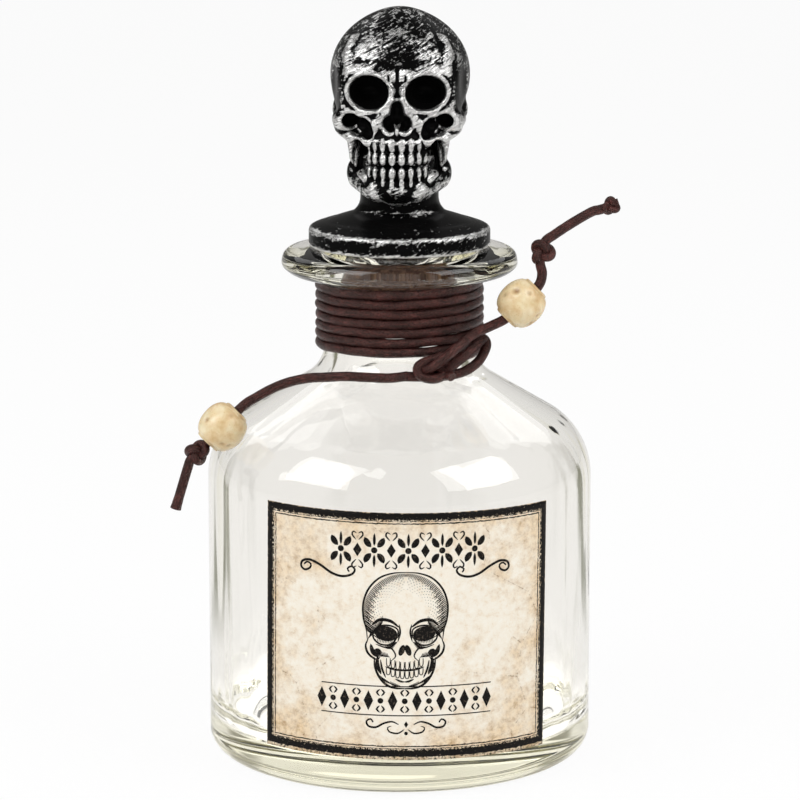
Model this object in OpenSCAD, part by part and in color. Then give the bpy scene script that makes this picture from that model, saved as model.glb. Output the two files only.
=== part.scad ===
// Apothecary poison bottle with a skull stopper, a paper label and a leather
// cord bound round its neck. Units are millimetres, +Z is up, the bottle stands
// on z = 0 about the Z axis and the skull faces -Y.

/* [Glass body] */
// Outside diameter of the body
body_d = 95; // [85:1:110]
// Height at which the straight side ends and the shoulder begins
side_h = 69.6; // [60:0.2:90]
// Radius of the round shoulder
shoulder_r = 18; // [12:0.5:22]
// Slope of the shoulder cone above the horizontal, in degrees
cone_slope = 31; // [26:1:38]
// Radius of the round heel
heel_r = 5.5; // [3:0.5:7]
// Thickness of the glass wall
wall = 3.4; // [2:0.2:5]
// Thickness of the glass floor at its edge
floor_t = 7; // [5:0.5:10]
// Height of the push-up under the floor
pushup_h = 2.2; // [1:0.2:3]
// Width of the flat resting ring
ring_w = 3; // [2:0.5:5]

/* [Glass neck] */
// Outside diameter of the neck
neck_d = 36.8; // [34:0.2:40]
// Bore of the neck
bore_d = 29.2; // [26:0.2:30]
// Radius where the shoulder cone turns up into the neck
neck_fillet_r = 10.6; // [8:0.2:14]
// Height of the mouth above the table
mouth_h = 127.2; // [125:0.2:140]

/* [Lip] */
// Outside diameter of the lip
lip_d = 58; // [54:0.5:64]
// Thickness of the lip at the neck
lip_t = 6.8; // [5.4:0.2:7]
// Fall of the lip's top face towards its rim
lip_fall = 1.2; // [0.4:0.2:2]
// Rounding of the lip's rim
lip_round = 2.6; // [1.5:0.1:2.6]

/* [Label] */
// Width of the paper, measured round the glass
label_w = 74; // [50:1:90]
// Height of the paper
label_h = 59.8; // [40:0.2:60]
// Height of the paper's lower edge above the table
label_z = 9.8; // [8:0.2:9.8]
// Thickness of the paper
label_t = 0.2; // [0.1:0.05:0.4]
// Turn of the label's middle to the right of the front, in degrees
label_turn = 2.7; // [-10:0.1:10]
// Thickness of the glue between paper and glass
glue_t = 0.02; // [0.01:0.01:0.1]

/* [Stopper] */
// Diameter of the stopper's disc
disc_d = 44.6; // [42:0.2:50]
// Height of the disc's rim
disc_t = 4; // [3:0.2:6]
// Rise of the disc's domed top from rim to neck
dome_h = 4.2; // [2:0.2:5]
// Half width of the oval neck under the skull
post_w = 9.8; // [8:0.2:12]
// Half depth of the oval neck under the skull
post_l = 12.4; // [10:0.2:14]
// Height of the neck between the disc's dome and the chin
neck_rise = 4.6; // [3:0.2:8]
// Width of the skull across the temples
skull_w = 34.3; // [28:0.1:38]
// Height of the skull from chin to crown
skull_h = 44.8; // [38:0.2:50]
// Turn of the skull's face to its right, in degrees
skull_turn = 2; // [-10:1:10]
// Teeth in each row
tooth_count = 8; // [6:2:10]

/* [Cork] */
// Length of the cork
cork_l = 20; // [12:0.5:24]
// Diameter at the narrow end of the cork
cork_end_d = 27.6; // [24:0.2:28]
// Clearance between cork and bore at the mouth, all round
cork_gap = 0.05; // [0.02:0.01:0.2]

/* [Cord] */
// Diameter of the leather cord
cord_d = 2.4; // [2:0.1:2.4]
// Gap between the lip and the highest turn of the cord
wrap_gap = 0.9; // [0.5:0.1:1.5]
// Gap between one turn and the next
turn_gap = 0.05; // [0:0.05:0.2]

/* [Beads] */
// Diameter of a bead
bead_d = 11.6; // [9:0.2:11.8]
// Length of a bead along its hole
bead_l = 11.4; // [8:0.2:11.6]
// Diameter of the hole through a bead
bead_bore_d = 4; // [3.6:0.1:5]
// Diameter of the knots that hold the beads
stop_knot_d = 6.2; // [5:0.2:7]
// Diameter of the small knot at the end of the right tail
end_knot_d = 4.6; // [4:0.2:5]

/* [Hidden] */

body_r = body_d / 2;
neck_r = neck_d / 2;
bore_r = bore_d / 2;
lip_r = lip_d / 2;
disc_r = disc_d / 2;
cord_r = cord_d / 2;

// Smoothness of a full turn and of a rounding
$fn = 96;
arc_steps = 10;
// Play between the cord and the knot round it
knot_play = 0.05;

// Points along a round stretch of an outline
function arc(c, r, a0, a1) = [for (i = [0:arc_steps])
    let (a = a0 + (a1 - a0) * i / arc_steps) c + r * [cos(a), sin(a)]];

// Shoulder outline from the straight side to the upright neck. The side is at
// radius side_r, the shoulder's rounding is r1 and the neck's is r2.
function shoulder(side_r, r1, neck, r2) = let (
    turn = 90 - cone_slope,
    c1 = [side_r - r1, side_h],
    foot = c1 + r1 * [cos(turn), sin(turn)],
    top_x = neck + r2 * (1 - cos(turn)),
    top_z = foot[1] + (foot[0] - top_x) * tan(cone_slope),
    c2 = [neck + r2, top_z + r2 * sin(turn)])
    concat(arc(c1, r1, 0, turn), arc(c2, r2, 180 + turn, 180));

// The shoulder's outline ends where the neck stands upright, at this height
neck_foot_z = let (line = shoulder(body_r, shoulder_r, neck_r, neck_fillet_r)) line[len(line) - 1][1];

// The cord fills the upright neck from under the lip, with as many turns as fit
turn_pitch = cord_d + turn_gap;
top_turn_z = mouth_h - lip_t - wrap_gap - cord_r;
foot_room = 0.3;
turns = 1 + max(0, floor((top_turn_z - neck_foot_z - foot_room) / turn_pitch));
wrap_z = top_turn_z - (turns - 1) * turn_pitch;

// The knot, the tails and what they carry were drawn before a neck of this radius
// with its foot at this height, and they go with it
drawn_neck_r = 18.4;
drawn_foot_z = 103.27;
module tied_in_front() {
    translate([0, drawn_neck_r - neck_r, neck_foot_z - drawn_foot_z]) children();
}

// The cord's route after the front knot, to the left and to the right. The
// cord is stiff waxed leather, which keeps the curve it was given.
left_route = [[2, -22.5, 98.5], [-2.5, -22.5, 98], [-8.5, -21.5, 98], [-13, -20.5, 98],
    [-18, -19, 97.5], [-22, -17.5, 97], [-26.5, -17, 96], [-30.5, -17, 94.5], [-34.5, -18, 92.5],
    [-38, -19.5, 90.5], [-43, -20.5, 85.5], [-47.5, -21.5, 81], [-50.5, -22, 78],
    [-51.5, -22, 75.5], [-53, -22, 70.5], [-54.5, -22, 65.5]];
right_route = [[16, -20.5, 107], [18.5, -19, 108.5], [22, -18.5, 110], [26, -18, 112],
    [29.5, -17.5, 115.5], [33.5, -17, 119.5], [34.5, -16.5, 122.5], [34, -16, 125.5],
    [35, -16, 130], [37.5, -15.5, 132], [42, -15.5, 135], [46.5, -15, 137.5],
    [48.5, -15, 138], [53, -15, 139.5]];
// Strands of the front knot: the big loop at the right, the eye at the left, the
// strand that rises out of the eye and the short strand beside it
big_loop = [[13, -21.5, 98.5], [16, -20, 99], [19.5, -17.5, 101], [21.5, -14.5, 104],
    [21, -14, 106], [19, -15, 106.5]];
eye_loop = [[11, -22, 99], [8, -22.5, 97.5], [4.5, -22.5, 98], [3.5, -22.5, 100],
    [5, -22.5, 102], [7.5, -22.5, 101.5]];
rising_strand = [[7.5, -24.5, 101.5], [10, -25, 103.5], [12, -24.5, 105], [15, -21.5, 106.5]];
side_strand = [[11.5, -22, 101], [14.5, -21, 102.5], [18, -18.5, 104.5]];

// Where the beads and knots sit: the place and the direction of the cord there
left_bead_at = [[-43, -20.5, 85.5], [-9.5, -2, -9.5]];
right_bead_at = [[29.5, -17.5, 115.5], [7.5, 1, 7.5]];
left_stop_at = [[-49, -21.75, 79.5], [-3, -0.5, -3]];
right_stop_at = [[34.5, -16, 127.75], [1, 0, 4.5]];
right_end_at = [[51, -15, 138.833], [4.5, 0, 1.5]];

// Puts its child's Z axis along the cord at a place
module on_cord(place) {
    v = place[1];
    translate(place[0]) rotate([0, acos(v[2] / norm(v)), atan2(v[1], v[0])]) children();
}

// Tube of the cord along a route: one ring of sides at each point, square to the
// middle direction of the two stretches that meet there
module cord_along(route) {
    sides = 8;
    last = len(route) - 1;
    ring_r = cord_r;
    rings = [for (i = [0:last]) let (
        t = route[min(i + 1, last)] - route[max(i - 1, 0)],
        u = cross(t, [0, 1, 0]),
        across = u / norm(u),
        w = cross(across, t),
        over = w / norm(w))
        for (k = [0:sides - 1]) let (a = 360 * (k + 0.5) / sides)
            route[i] + ring_r * (cos(a) * across + sin(a) * over)];
    skin = [for (i = [0:last - 1]) for (k = [0:sides - 1]) let (k2 = (k + 1) % sides)
        each [[i * sides + k, i * sides + k2, (i + 1) * sides + k2],
              [i * sides + k, (i + 1) * sides + k2, (i + 1) * sides + k]]];
    cut_ends = [[for (k = [sides - 1:-1:0]) k], [for (k = [0:sides - 1]) last * sides + k]];
    polyhedron(rings, concat(skin, cut_ends));
}

// Round strand through points, for the front knot
module strand(points) {
    for (i = [1:len(points) - 1]) hull() {
        translate(points[i - 1]) sphere(cord_r, $fn = 10);
        translate(points[i]) sphere(cord_r, $fn = 10);
    }
}

// Thick clear bottle: one closed outline of wall, floor, shoulder, neck and lip
module glass_bottle() {
    ring_out = body_r - heel_r;
    ring_in = ring_out - ring_w;
    lip_z = mouth_h - lip_t;
    lip_rim_z = mouth_h - lip_fall;
    under_r = 3;
    // The rim's rounding turns this far, in degrees, before the top face
    rim_end = 80;
    mouth_round = 1;
    inner_r = body_r - wall;
    floor_round = 9;
    outside = concat(
        [[0, pushup_h], [ring_in * 0.6, pushup_h * 0.85], [ring_in - 2, pushup_h * 0.4], [ring_in, 0]],
        arc([body_r - heel_r, heel_r], heel_r, -90, 0),
        shoulder(body_r, shoulder_r, neck_r, neck_fillet_r),
        [[neck_r, lip_z - 0.8], [neck_r + 0.8, lip_z]],
        arc([lip_r - under_r, lip_z + under_r], under_r, -90, 0),
        arc([lip_r - lip_round, lip_rim_z - lip_round], lip_round, 0, rim_end));
    mouth = concat([[disc_r - 1, mouth_h]],
        arc([bore_r + mouth_round, mouth_h - mouth_round], mouth_round, 90, 180));
    inside_up = concat(
        [[0, floor_t + 2.4], [inner_r * 0.45, floor_t + 1.6], [inner_r * 0.7, floor_t + 0.4]],
        arc([inner_r - floor_round, floor_t + floor_round], floor_round, -90, 0),
        shoulder(inner_r, shoulder_r - wall, bore_r, neck_fillet_r + wall / 2));
    inside = [for (i = [len(inside_up) - 1:-1:0]) inside_up[i]];
    color("lightcyan", 0.4) rotate_extrude() polygon(concat(outside, mouth, inside));
}

// Printed paper label, bent round the front of the glass
module paper_label() {
    sweep = 180 * label_w / (PI * body_r);
    color("antiquewhite") rotate([0, 0, 270 + label_turn - sweep / 2])
        rotate_extrude(angle = sweep) translate([body_r + glue_t, label_z])
            square([label_t, label_h]);
}

// Tapered cork glued under the disc
module cork_plug() {
    color("burlywood") translate([0, 0, mouth_h - cork_l])
        cylinder(h = cork_l, d1 = cork_end_d, d2 = bore_d - 2 * cork_gap);
}

// The skull is one skin, drawn in rings from the disc up to the crown. Each point
// lies where a level ray from the skull's axis leaves the clay: the lumps below,
// blended into each other, less the hollows. A lump is a centre and three radii,
// with the chin at z = 0 and the face towards -Y.
function mirrored(lumps) = [for (l = lumps) each [l, [[-l[0][0], l[0][1], l[0][2]], l[1]]]];

// Round bar from a to b, as a row of balls that grow from radius ra to rb
function bar(a, b, ra, rb) = let (n = ceil(norm(b - a) / (0.8 * min(ra, rb))))
    [for (i = [0:n]) let (r = ra + (rb - ra) * i / n) [a + (b - a) * i / n, [r, r, r]]];

braincase = concat(mirrored([
    [[4.4, 5, 28.6], [12.4, 15.5, 13.6]],
    [[5.2, -4.5, 27.4], [11.2, 11.8, 12.2]]]), [
    [[0, 2, 30], [14.2, 17.6, 14.8]],
    [[0, 9, 24], [14.6, 13.4, 12]],
    [[0, 6, 15], [12, 12, 10]]]);
face = concat(mirrored(concat(
    [[[7.4, -13, 31.4], [4.6, 2.8, 1.8]],
     [[3, -14.7, 30.2], [2.6, 2.4, 1.8]],
     [[9.6, -9, 25.4], [4.3, 4.2, 7]],
     [[12.6, -9, 18.8], [3.2, 3.8, 3.3]],
     [[14.4, -3, 18.6], [1.9, 7, 2.1]],
     [[14.6, 4, 20], [2, 4, 2.8]],
     [[6.2, -14.2, 17.6], [2.1, 2.8, 3.6]]],
    bar([11.2, -12.6, 31], [12, -12, 27], 1.3, 1.3),
    bar([12, -12, 27], [12.1, -11.6, 22.6], 1.3, 1.5),
    bar([12.4, -11.2, 21.2], [9, -14.2, 21.1], 1.2, 1.2),
    bar([9, -14.2, 21.1], [5.6, -15.8, 22], 1.2, 1.1),
    bar([1.6, -17, 27], [3.1, -16.9, 22.6], 1.2, 1.3),
    bar([3.1, -16.9, 22.6], [5.4, -15.9, 18.2], 1.3, 1.4),
    bar([14.2, -8, 16.8], [11, -12, 14.9], 1.3, 1.3),
    bar([11, -12, 14.9], [6.8, -15, 14.6], 1.3, 1.2))), [
    [[0, -9.4, 25], [8, 7.2, 8]],
    [[0, -8.6, 18], [10.4, 8, 6]],
    [[0, -11, 14.4], [8, 8.1, 3.4]],
    [[0, -12, 16.6], [6.4, 6, 2.6]]]);
lower_jaw = concat(mirrored(concat(
    [[[4.4, -15.8, 2.4], [2.8, 2.7, 2.9]],
     [[10.8, -2, 5.2], [2, 3.9, 3.4]],
     [[10.3, -3, 12], [1.5, 4, 6]]],
    bar([5.8, -14.2, 2.4], [10.2, -4.6, 3.8], 2.2, 2),
    bar([7, -14.2, 5], [8.9, -11.4, 6.6], 1.1, 1),
    bar([8.9, -11.4, 6.6], [10.6, -9, 9.4], 1, 1),
    bar([10.6, -9, 9.4], [11.5, -7.6, 15], 1, 1.1))), [
    [[0, -12.8, 3.6], [6.8, 6, 3.6]],
    [[0, -11.2, 9], [7, 7, 5]],
    [[0, -5, 8], [9, 8, 8]]]);
hollows = mirrored([
    [[7, -17.2, 26.4], [4.8, 7.6, 4.2]],
    [[9.6, -16.4, 17.9], [3.2, 4.6, 2.6]],
    [[16.4, -9.5, 27.5], [3, 6, 6]],
    [[8.9, -13.6, 10.2], [1.9, 5, 3.9]],
    [[1.45, -19.9, 19.5], [1.75, 4.8, 2]],
    [[0.4, -20, 22.1], [1.3, 5, 2.9]]]);
// Both rows of teeth stand on one arch, each tooth a long lump over its root
tooth_arch_r = 7.5;
tooth_spread = 17.5;
teeth = concat([[[0, -18.8, 17.7], [0.6, 1.2, 1.5]]],
    [for (i = [0:tooth_count - 1]) let (
        a = (i - (tooth_count - 1) / 2) * tooth_spread,
        at = [tooth_arch_r * sin(a), -11.2 - tooth_arch_r * cos(a)])
        each [[[at[0], at[1], 10.7], [1, 1.15, 1.7]],
              [[at[0], at[1] + 0.35, 13.7], [0.8, 1, 2]],
              [[at[0], at[1], 7.2], [0.95, 1.1, 1.6]],
              [[at[0], at[1] + 0.3, 5], [0.7, 0.9, 1.5]]]]);

function blend_max(a, b, soft) = let (h = max(soft - abs(a - b), 0) / soft)
    max(a, b) + h * h * soft / 4;

// Where a level ray from start crosses a lump: side 1 is the way out, -1 the way in
function crossing(l, start, dir, z, side) = let (
    level = 1 - pow((z - l[0][2]) / l[1][2], 2))
    level <= 0.001 ? undef : let (
        a = l[1][0] * sqrt(level),
        b = l[1][1] * sqrt(level),
        p = [(start[0] - l[0][0]) / a, (start[1] - l[0][1]) / b],
        d = [dir[0] / a, dir[1] / b],
        half = p * d,
        root = half * half - (d * d) * (p * p - 1))
        root < 0 ? undef : (side * sqrt(root) - half) / (d * d);

function add_lumps(lumps, start, dir, z, soft, r, i = 0) = i == len(lumps) ? r :
    let (t = crossing(lumps[i], start, dir, z, 1))
    add_lumps(lumps, start, dir, z, soft, is_undef(t) || t < 0 ? r : blend_max(r, t, soft), i + 1);

function cut_hollows(lumps, start, dir, z, r, i = 0) = i == len(lumps) ? r :
    let (t = crossing(lumps[i], start, dir, z, -1))
    cut_hollows(lumps, start, dir, z, is_undef(t) || t < 0 ? r : -blend_max(-r, -t, 0.5), i + 1);

// Cast stopper in one piece: skull, oval neck and disc. The lumps were drawn for a
// skull of this width and height, and are stretched to the sizes set above.
module skull_stopper() {
    drawn_w = 34.3;
    drawn_h = 44.8;
    tall = skull_h / drawn_h;
    foot_z = disc_t + dome_h;
    chin_z = foot_z + neck_rise;
    brow_top = 33;
    spread = [[foot_z, 1], [chin_z, skull_w / drawn_w]];
    body = concat(braincase, face, lower_jaw);
    // Heights and radii of the disc's own rings, then the heights of the neck's and
    // of the skull's
    disc_rings = [[0, disc_r - 0.2], [0.3, disc_r], [disc_t - 0.3, disc_r], [disc_t + 0.2, disc_r - 0.4],
        [disc_t + dome_h * 0.16, disc_r - 1.2], [disc_t + dome_h * 0.36, disc_r - 3.6],
        [disc_t + dome_h * 0.66, post_l + 2.6], [foot_z, post_l + 0.4]];
    neck_rings = [for (i = [1:3]) foot_z + i * (neck_rise - 0.6) / 4];
    face_rings = [for (h = [-0.6:0.63:brow_top]) chin_z + h * tall];
    crown_rings = [for (a = [12:9:84]) chin_z + (brow_top + (drawn_h - brow_top) * sin(a)) * tall];
    rings = concat([for (p = disc_rings) p[0]], neck_rings, face_rings, crown_rings);
    // Directions round the axis, close together over the face
    directions = [for (i = [0:83]) let (u = i * 360 / 84) u - 34 * sin(u) - 90];
    axis_y = [[0, 0], [foot_z, 0], [chin_z, -4], [chin_z + 10 * tall, -8], [chin_z + 20 * tall, -6],
              [chin_z + 34 * tall, 0], [chin_z + drawn_h * tall, 2]];
    points = [for (k = [0:len(rings) - 1]) let (
        z = rings[k],
        h = (z - chin_z) / tall,
        start = [0, lookup(z, axis_y)],
        post = [[0, 0, h], [post_w, post_l, 1]],
        disc = k < len(disc_rings) ? [[0, 0, h], [disc_rings[k][1], disc_rings[k][1], 1]] : post)
        for (a = directions) let (
            dir = [cos(a), sin(a)],
            bare = k < len(disc_rings) ? crossing(disc, start, dir, h, 1) :
                h > 14 ? 0.5 : crossing(post, start, dir, h, 1),
            clay = h < -2 ? bare : add_lumps(body, start, dir, h, 0.9, bare),
            cut = h < 0 ? clay : cut_hollows(hollows, start, dir, h, clay),
            r = h < 0 ? cut : add_lumps(teeth, start, dir, h, 0.3, cut))
            concat((start + r * dir) * lookup(z, spread), z)];
    n = len(directions);
    last = len(rings) - 1;
    skin = [for (k = [0:last - 1]) for (i = [0:n - 1]) let (j = (i + 1) % n)
        each [[k * n + i, (k + 1) * n + j, k * n + j], [k * n + i, (k + 1) * n + i, (k + 1) * n + j]]];
    ends = [[for (i = [0:n - 1]) i], [for (i = [n - 1:-1:0]) last * n + i]];
    color("dimgray") translate([0, 0, mouth_h]) rotate(-skull_turn)
        polyhedron(points, concat(skin, ends));
}

// Turns of the cord bound round the neck, as the one solid that they fill
module neck_cord() {
    turn_r = neck_r + cord_r;
    // Each turn's round ends at this angle, in the web that joins it to the next
    web = 76;
    bound = concat([[neck_r, wrap_z + (turns - 1) * turn_pitch], [neck_r, wrap_z]],
        [for (i = [0:turns - 1]) each arc([turn_r, wrap_z + i * turn_pitch], cord_r,
            i == 0 ? -90 : -web, i == turns - 1 ? 90 : web)]);
    color([0.24, 0.13, 0.11]) rotate_extrude() polygon(bound);
}

// The ends of the binding, tied in front of the neck
module front_knot() {
    color([0.24, 0.13, 0.11]) tied_in_front() {
        strand(big_loop);
        strand(eye_loop);
        strand(rising_strand);
        strand(side_strand);
    }
}

module left_tail() {
    color([0.24, 0.13, 0.11]) tied_in_front() cord_along(left_route);
}

module right_tail() {
    color([0.24, 0.13, 0.11]) tied_in_front() cord_along(right_route);
}

// Barrel bead, turned from bone, with a plain hole
module bead() {
    hole_r = bead_bore_d / 2;
    half = bead_l / 2;
    bulge_r = (pow(half, 2) + pow(bead_d / 2 - hole_r, 2)) / (bead_d - bead_bore_d);
    reach = asin(half / bulge_r);
    barrel = [for (p = arc([bead_d / 2 - bulge_r, 0], bulge_r, -reach + 4, reach - 4))
        [max(p[0], hole_r + 0.5), p[1]]];
    rotate_extrude($fn = 64) polygon(concat([[hole_r, -half]], [[hole_r + 0.9, -half]], barrel,
        [[hole_r + 0.9, half], [hole_r, half]]));
}

module left_bead() {
    color("wheat") tied_in_front() on_cord(left_bead_at) bead();
}

module right_bead() {
    color("wheat") tied_in_front() on_cord(right_bead_at) bead();
}

// Overhand knot drawn tight, as the rounded collar that it fills round the cord
module knot_collar(d) {
    inner = cord_r + knot_play;
    fat = (d / 2 - inner) / 2;
    rotate_extrude($fn = 40) polygon(concat([[inner, fat], [inner, -fat]],
        arc([inner + fat, -fat * 0.9], fat, -90, 30), arc([inner + fat, fat * 0.9], fat, -30, 90)));
}

module left_stop_knot() {
    color([0.24, 0.13, 0.11]) tied_in_front() on_cord(left_stop_at) knot_collar(stop_knot_d);
}

module right_stop_knot() {
    color([0.24, 0.13, 0.11]) tied_in_front() on_cord(right_stop_at) knot_collar(stop_knot_d);
}

module right_end_knot() {
    color([0.24, 0.13, 0.11]) tied_in_front() on_cord(right_end_at) knot_collar(end_knot_d);
}

glass_bottle();
paper_label();
skull_stopper();
cork_plug();
neck_cord();
front_knot();
left_tail();
right_tail();
left_bead();
right_bead();
left_stop_knot();
right_stop_knot();
right_end_knot();
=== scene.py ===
import math

import bmesh
import bpy
import numpy as np
from mathutils import Matrix, Vector, noise


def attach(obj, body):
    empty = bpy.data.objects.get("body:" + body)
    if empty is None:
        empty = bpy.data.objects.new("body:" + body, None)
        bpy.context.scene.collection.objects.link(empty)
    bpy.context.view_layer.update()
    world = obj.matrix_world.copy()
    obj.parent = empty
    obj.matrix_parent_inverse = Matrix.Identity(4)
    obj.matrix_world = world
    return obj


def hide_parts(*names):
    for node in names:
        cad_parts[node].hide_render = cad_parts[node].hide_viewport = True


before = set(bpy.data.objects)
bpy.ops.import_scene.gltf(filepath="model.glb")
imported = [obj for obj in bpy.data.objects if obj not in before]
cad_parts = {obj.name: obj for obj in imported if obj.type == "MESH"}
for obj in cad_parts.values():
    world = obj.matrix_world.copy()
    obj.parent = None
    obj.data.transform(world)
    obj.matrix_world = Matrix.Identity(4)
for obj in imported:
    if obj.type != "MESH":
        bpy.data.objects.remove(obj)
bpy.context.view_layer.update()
MM = 0.001

# Camera: one metre in front of the bottle and a little above it, with a long
# lens, so that the bottle fills the square frame from the crown to the base.
camera_tilt = 11.73


def placed(name, data):
    """A new object in the scene."""
    made = bpy.data.objects.new(name, data)
    bpy.context.collection.objects.link(made)
    return made


camera = bpy.data.cameras.new("camera")
camera.lens = 180.6
camera.sensor_width = 36
camera.clip_start = 0.05
camera.clip_end = 50
camera_object = placed("camera", camera)
camera_object.location = (0.12 * MM, -973.2 * MM, 290 * MM)
camera_object.rotation_euler = (math.radians(90 - camera_tilt), 0, 0)
bpy.context.scene.camera = camera_object


# Cord: round leather thong, dyed dark brown and waxed until it is stiff. It is
# wound seven times round the neck and knotted in front, and its two tails carry
# the beads. All of it is one thickness, swept along its route.
cord_r = 1.2 * MM
cord_sides = 16


def put(finish, kind, inputs=None, **settings):
    """Adds a shader node, and links or sets its inputs."""
    node = finish.node_tree.nodes.new("ShaderNode" + kind)
    for name, value in settings.items():
        setattr(node, name, value)
    for socket, value in (inputs or {}).items():
        if isinstance(value, bpy.types.NodeSocket):
            finish.node_tree.links.new(value, node.inputs[socket])
        else:
            node.inputs[socket].default_value = value
    return node


def ramp(finish, fac, *stops):
    """Colours or greys by value, through (value, colour) stops."""
    node = put(finish, "ValToRGB", {"Fac": fac})
    elements = node.color_ramp.elements
    while len(elements) < len(stops):
        elements.new(0.5)
    for element, (place, colour) in zip(elements, stops):
        element.position = place
        element.color = ((colour,) * 3 if isinstance(colour, float) else tuple(colour)) + (1,)
    return node.outputs["Color"]


def blend(finish, fac, under, over, how="MIX"):
    """One colour over another, by fac."""
    under, over = (colour + (1,) if isinstance(colour, tuple) else colour for colour in (under, over))
    return put(finish, "Mix", {0: fac, 6: under, 7: over}, data_type="RGBA", blend_type=how).outputs[2]


def maths(finish, operation, a, b=0.0, c=0.0):
    """One sum of up to three values."""
    return put(finish, "Math", {0: a, 1: b, 2: c}, operation=operation).outputs[0]


def times(finish, a, b, plus=0.0):
    """Two values multiplied, and a third added."""
    return maths(finish, "MULTIPLY_ADD", a, b, plus)


def clouds(finish, vector, scale, detail, rough=0.5, stretch=(1, 1, 1)):
    """A noise on stretched coordinates, as a value."""
    at = put(finish, "Mapping", {"Vector": vector, "Scale": stretch}).outputs["Vector"]
    return put(finish, "TexNoise", {"Vector": at, "Scale": scale, "Detail": detail,
               "Roughness": rough}).outputs["Fac"]


def cells(finish, vector, scale, feature="F1", output="Distance", stretch=(1, 1, 1)):
    """Cells on stretched coordinates: how far it is to their middles or edges, or their colours."""
    at = put(finish, "Mapping", {"Vector": vector, "Scale": stretch}).outputs["Vector"]
    return put(finish, "TexVoronoi", {"Vector": at, "Scale": scale}, feature=feature).outputs[output]


def new_finish(name, sockets):
    """A finish and its shader, with the values that are the same all over."""
    finish = bpy.data.materials.new(name)
    finish.use_nodes = True
    shader = finish.node_tree.nodes["Principled BSDF"]
    for socket, value in sockets.items():
        shader.inputs[socket].default_value = value
    return finish, shader


def paint(finish, shader, colour=None, rough=None, height=None, bump=0.0, strength=1.0, metal=None):
    """Links a colour, a roughness, a metal mask and a relief of that height into the shader."""
    links = finish.node_tree.links
    if colour is not None:
        links.new(colour, shader.inputs["Base Color"])
    if rough is not None:
        links.new(rough, shader.inputs["Roughness"])
    if metal is not None:
        links.new(metal, shader.inputs["Metallic"])
    if height is not None:
        relief = put(finish, "Bump", {"Height": height, "Strength": strength, "Distance": bump})
        links.new(relief.outputs["Normal"], shader.inputs["Normal"])


def leather_finish():
    """Waxed leather: dark brown, with fine wrinkles along it and short cracks across it."""
    finish, shader = new_finish("brown_leather", {"Specular Tint": (1.0, 0.7, 0.64, 1)})
    grain = put(finish, "Attribute", attribute_name="grain").outputs["Vector"]
    wrinkles = clouds(finish, grain, 1.0, 5.0, 0.62, (0.5, 3.2, 3.2))
    patches = clouds(finish, grain, 0.32, 3.0)
    pits = clouds(finish, grain, 2.2, 6.0, 0.7, (0.8, 1.6, 1.6))
    crack = ramp(finish, cells(finish, grain, 1.5, "DISTANCE_TO_EDGE", stretch=(1.3, 1, 1)),
                 (0, 0.0), (0.09, 1.0))
    tone = times(finish, wrinkles, 0.7, times(finish, patches, 0.3))
    colour = ramp(finish, tone, (0.38, (0.009, 0.0022, 0.0019)), (0.5, (0.034, 0.0085, 0.0072)),
                  (0.64, (0.12, 0.037, 0.032)))
    colour = blend(finish, crack, (0.005, 0.0015, 0.0013), colour)
    relief = times(finish, crack, 0.35, times(finish, pits, 0.8, wrinkles))
    paint(finish, shader, colour, ramp(finish, pits, (0.4, 0.5), (0.58, 0.2)), relief, 0.3 * MM, 0.55)
    return finish


leather = leather_finish()


def smooth_line(points, step):
    """Points every step or so along a smooth line through the given ones."""
    p = np.array(points, float)
    p = np.vstack([2 * p[0] - p[1], p, 2 * p[-1] - p[-2]])
    line = []
    for a, b, c, d in zip(p[:-3], p[1:-2], p[2:-1], p[3:]):
        for t in np.arange(0, 1, 1 / max(2, round(np.linalg.norm(c - b) / step))):
            line.append(0.5 * (2 * b + (c - a) * t + (2 * a - 5 * b + 4 * c - d) * t ** 2
                               + (3 * b - a - 3 * c + d) * t ** 3))
    return np.array(line + [p[-2]])


def sweep(name, line, radii, closed=False):
    """A tube of leather along a line, with a vertex attribute for its grain. radii is one number
    or one for each point."""
    curve = bpy.data.curves.new(name, "CURVE")
    curve.dimensions = "3D"
    curve.bevel_depth = 1
    curve.bevel_resolution = cord_sides // 2 - 2
    curve.twist_mode = "MINIMUM"
    spline = curve.splines.new("POLY")
    spline.points.add(len(line) - 1)
    spline.use_cyclic_u = closed
    radii = np.broadcast_to(radii, len(line))
    for point, place, r in zip(spline.points, line, radii):
        point.co = (*place, 1)
        point.radius = r * (1 + 0.03 * noise.noise(Vector(place) * 700))
    swept = placed(name, curve)
    mesh = bpy.data.meshes.new_from_object(swept.evaluated_get(bpy.context.evaluated_depsgraph_get()))
    bpy.data.objects.remove(swept)
    steps = np.linalg.norm(np.diff(line, axis=0), axis=1)
    along = np.concatenate([[0], np.cumsum(steps)]) / MM
    grain = mesh.attributes.new("grain", "FLOAT_VECTOR", "POINT")
    for i in range(len(mesh.vertices)):
        turn = 2 * math.pi * i / cord_sides
        across = (math.cos(turn) * cord_r / MM, math.sin(turn) * cord_r / MM)
        grain.data[i].vector = (along[i // cord_sides % len(along)], *across)
    bm = bmesh.new()
    bm.from_mesh(mesh)
    bmesh.ops.holes_fill(bm, edges=bm.edges, sides=0)
    for face in bm.faces:
        face.smooth = len(face.verts) == 4
    bm.to_mesh(mesh)
    bm.free()
    return mesh


def piece(name, meshes, finish, body):
    """One object from one or more meshes, riding on its body."""
    bm = bmesh.new()
    for mesh in meshes:
        bm.from_mesh(mesh)
    mesh = meshes[0]
    bm.to_mesh(mesh)
    bm.free()
    mesh.materials.clear()
    mesh.materials.append(finish)
    new = placed(name, mesh)
    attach(new, body)
    return new


def leather_piece(name, meshes):
    """A piece of the cord, on the bottle."""
    return piece(name, meshes, leather, "bottle")


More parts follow.
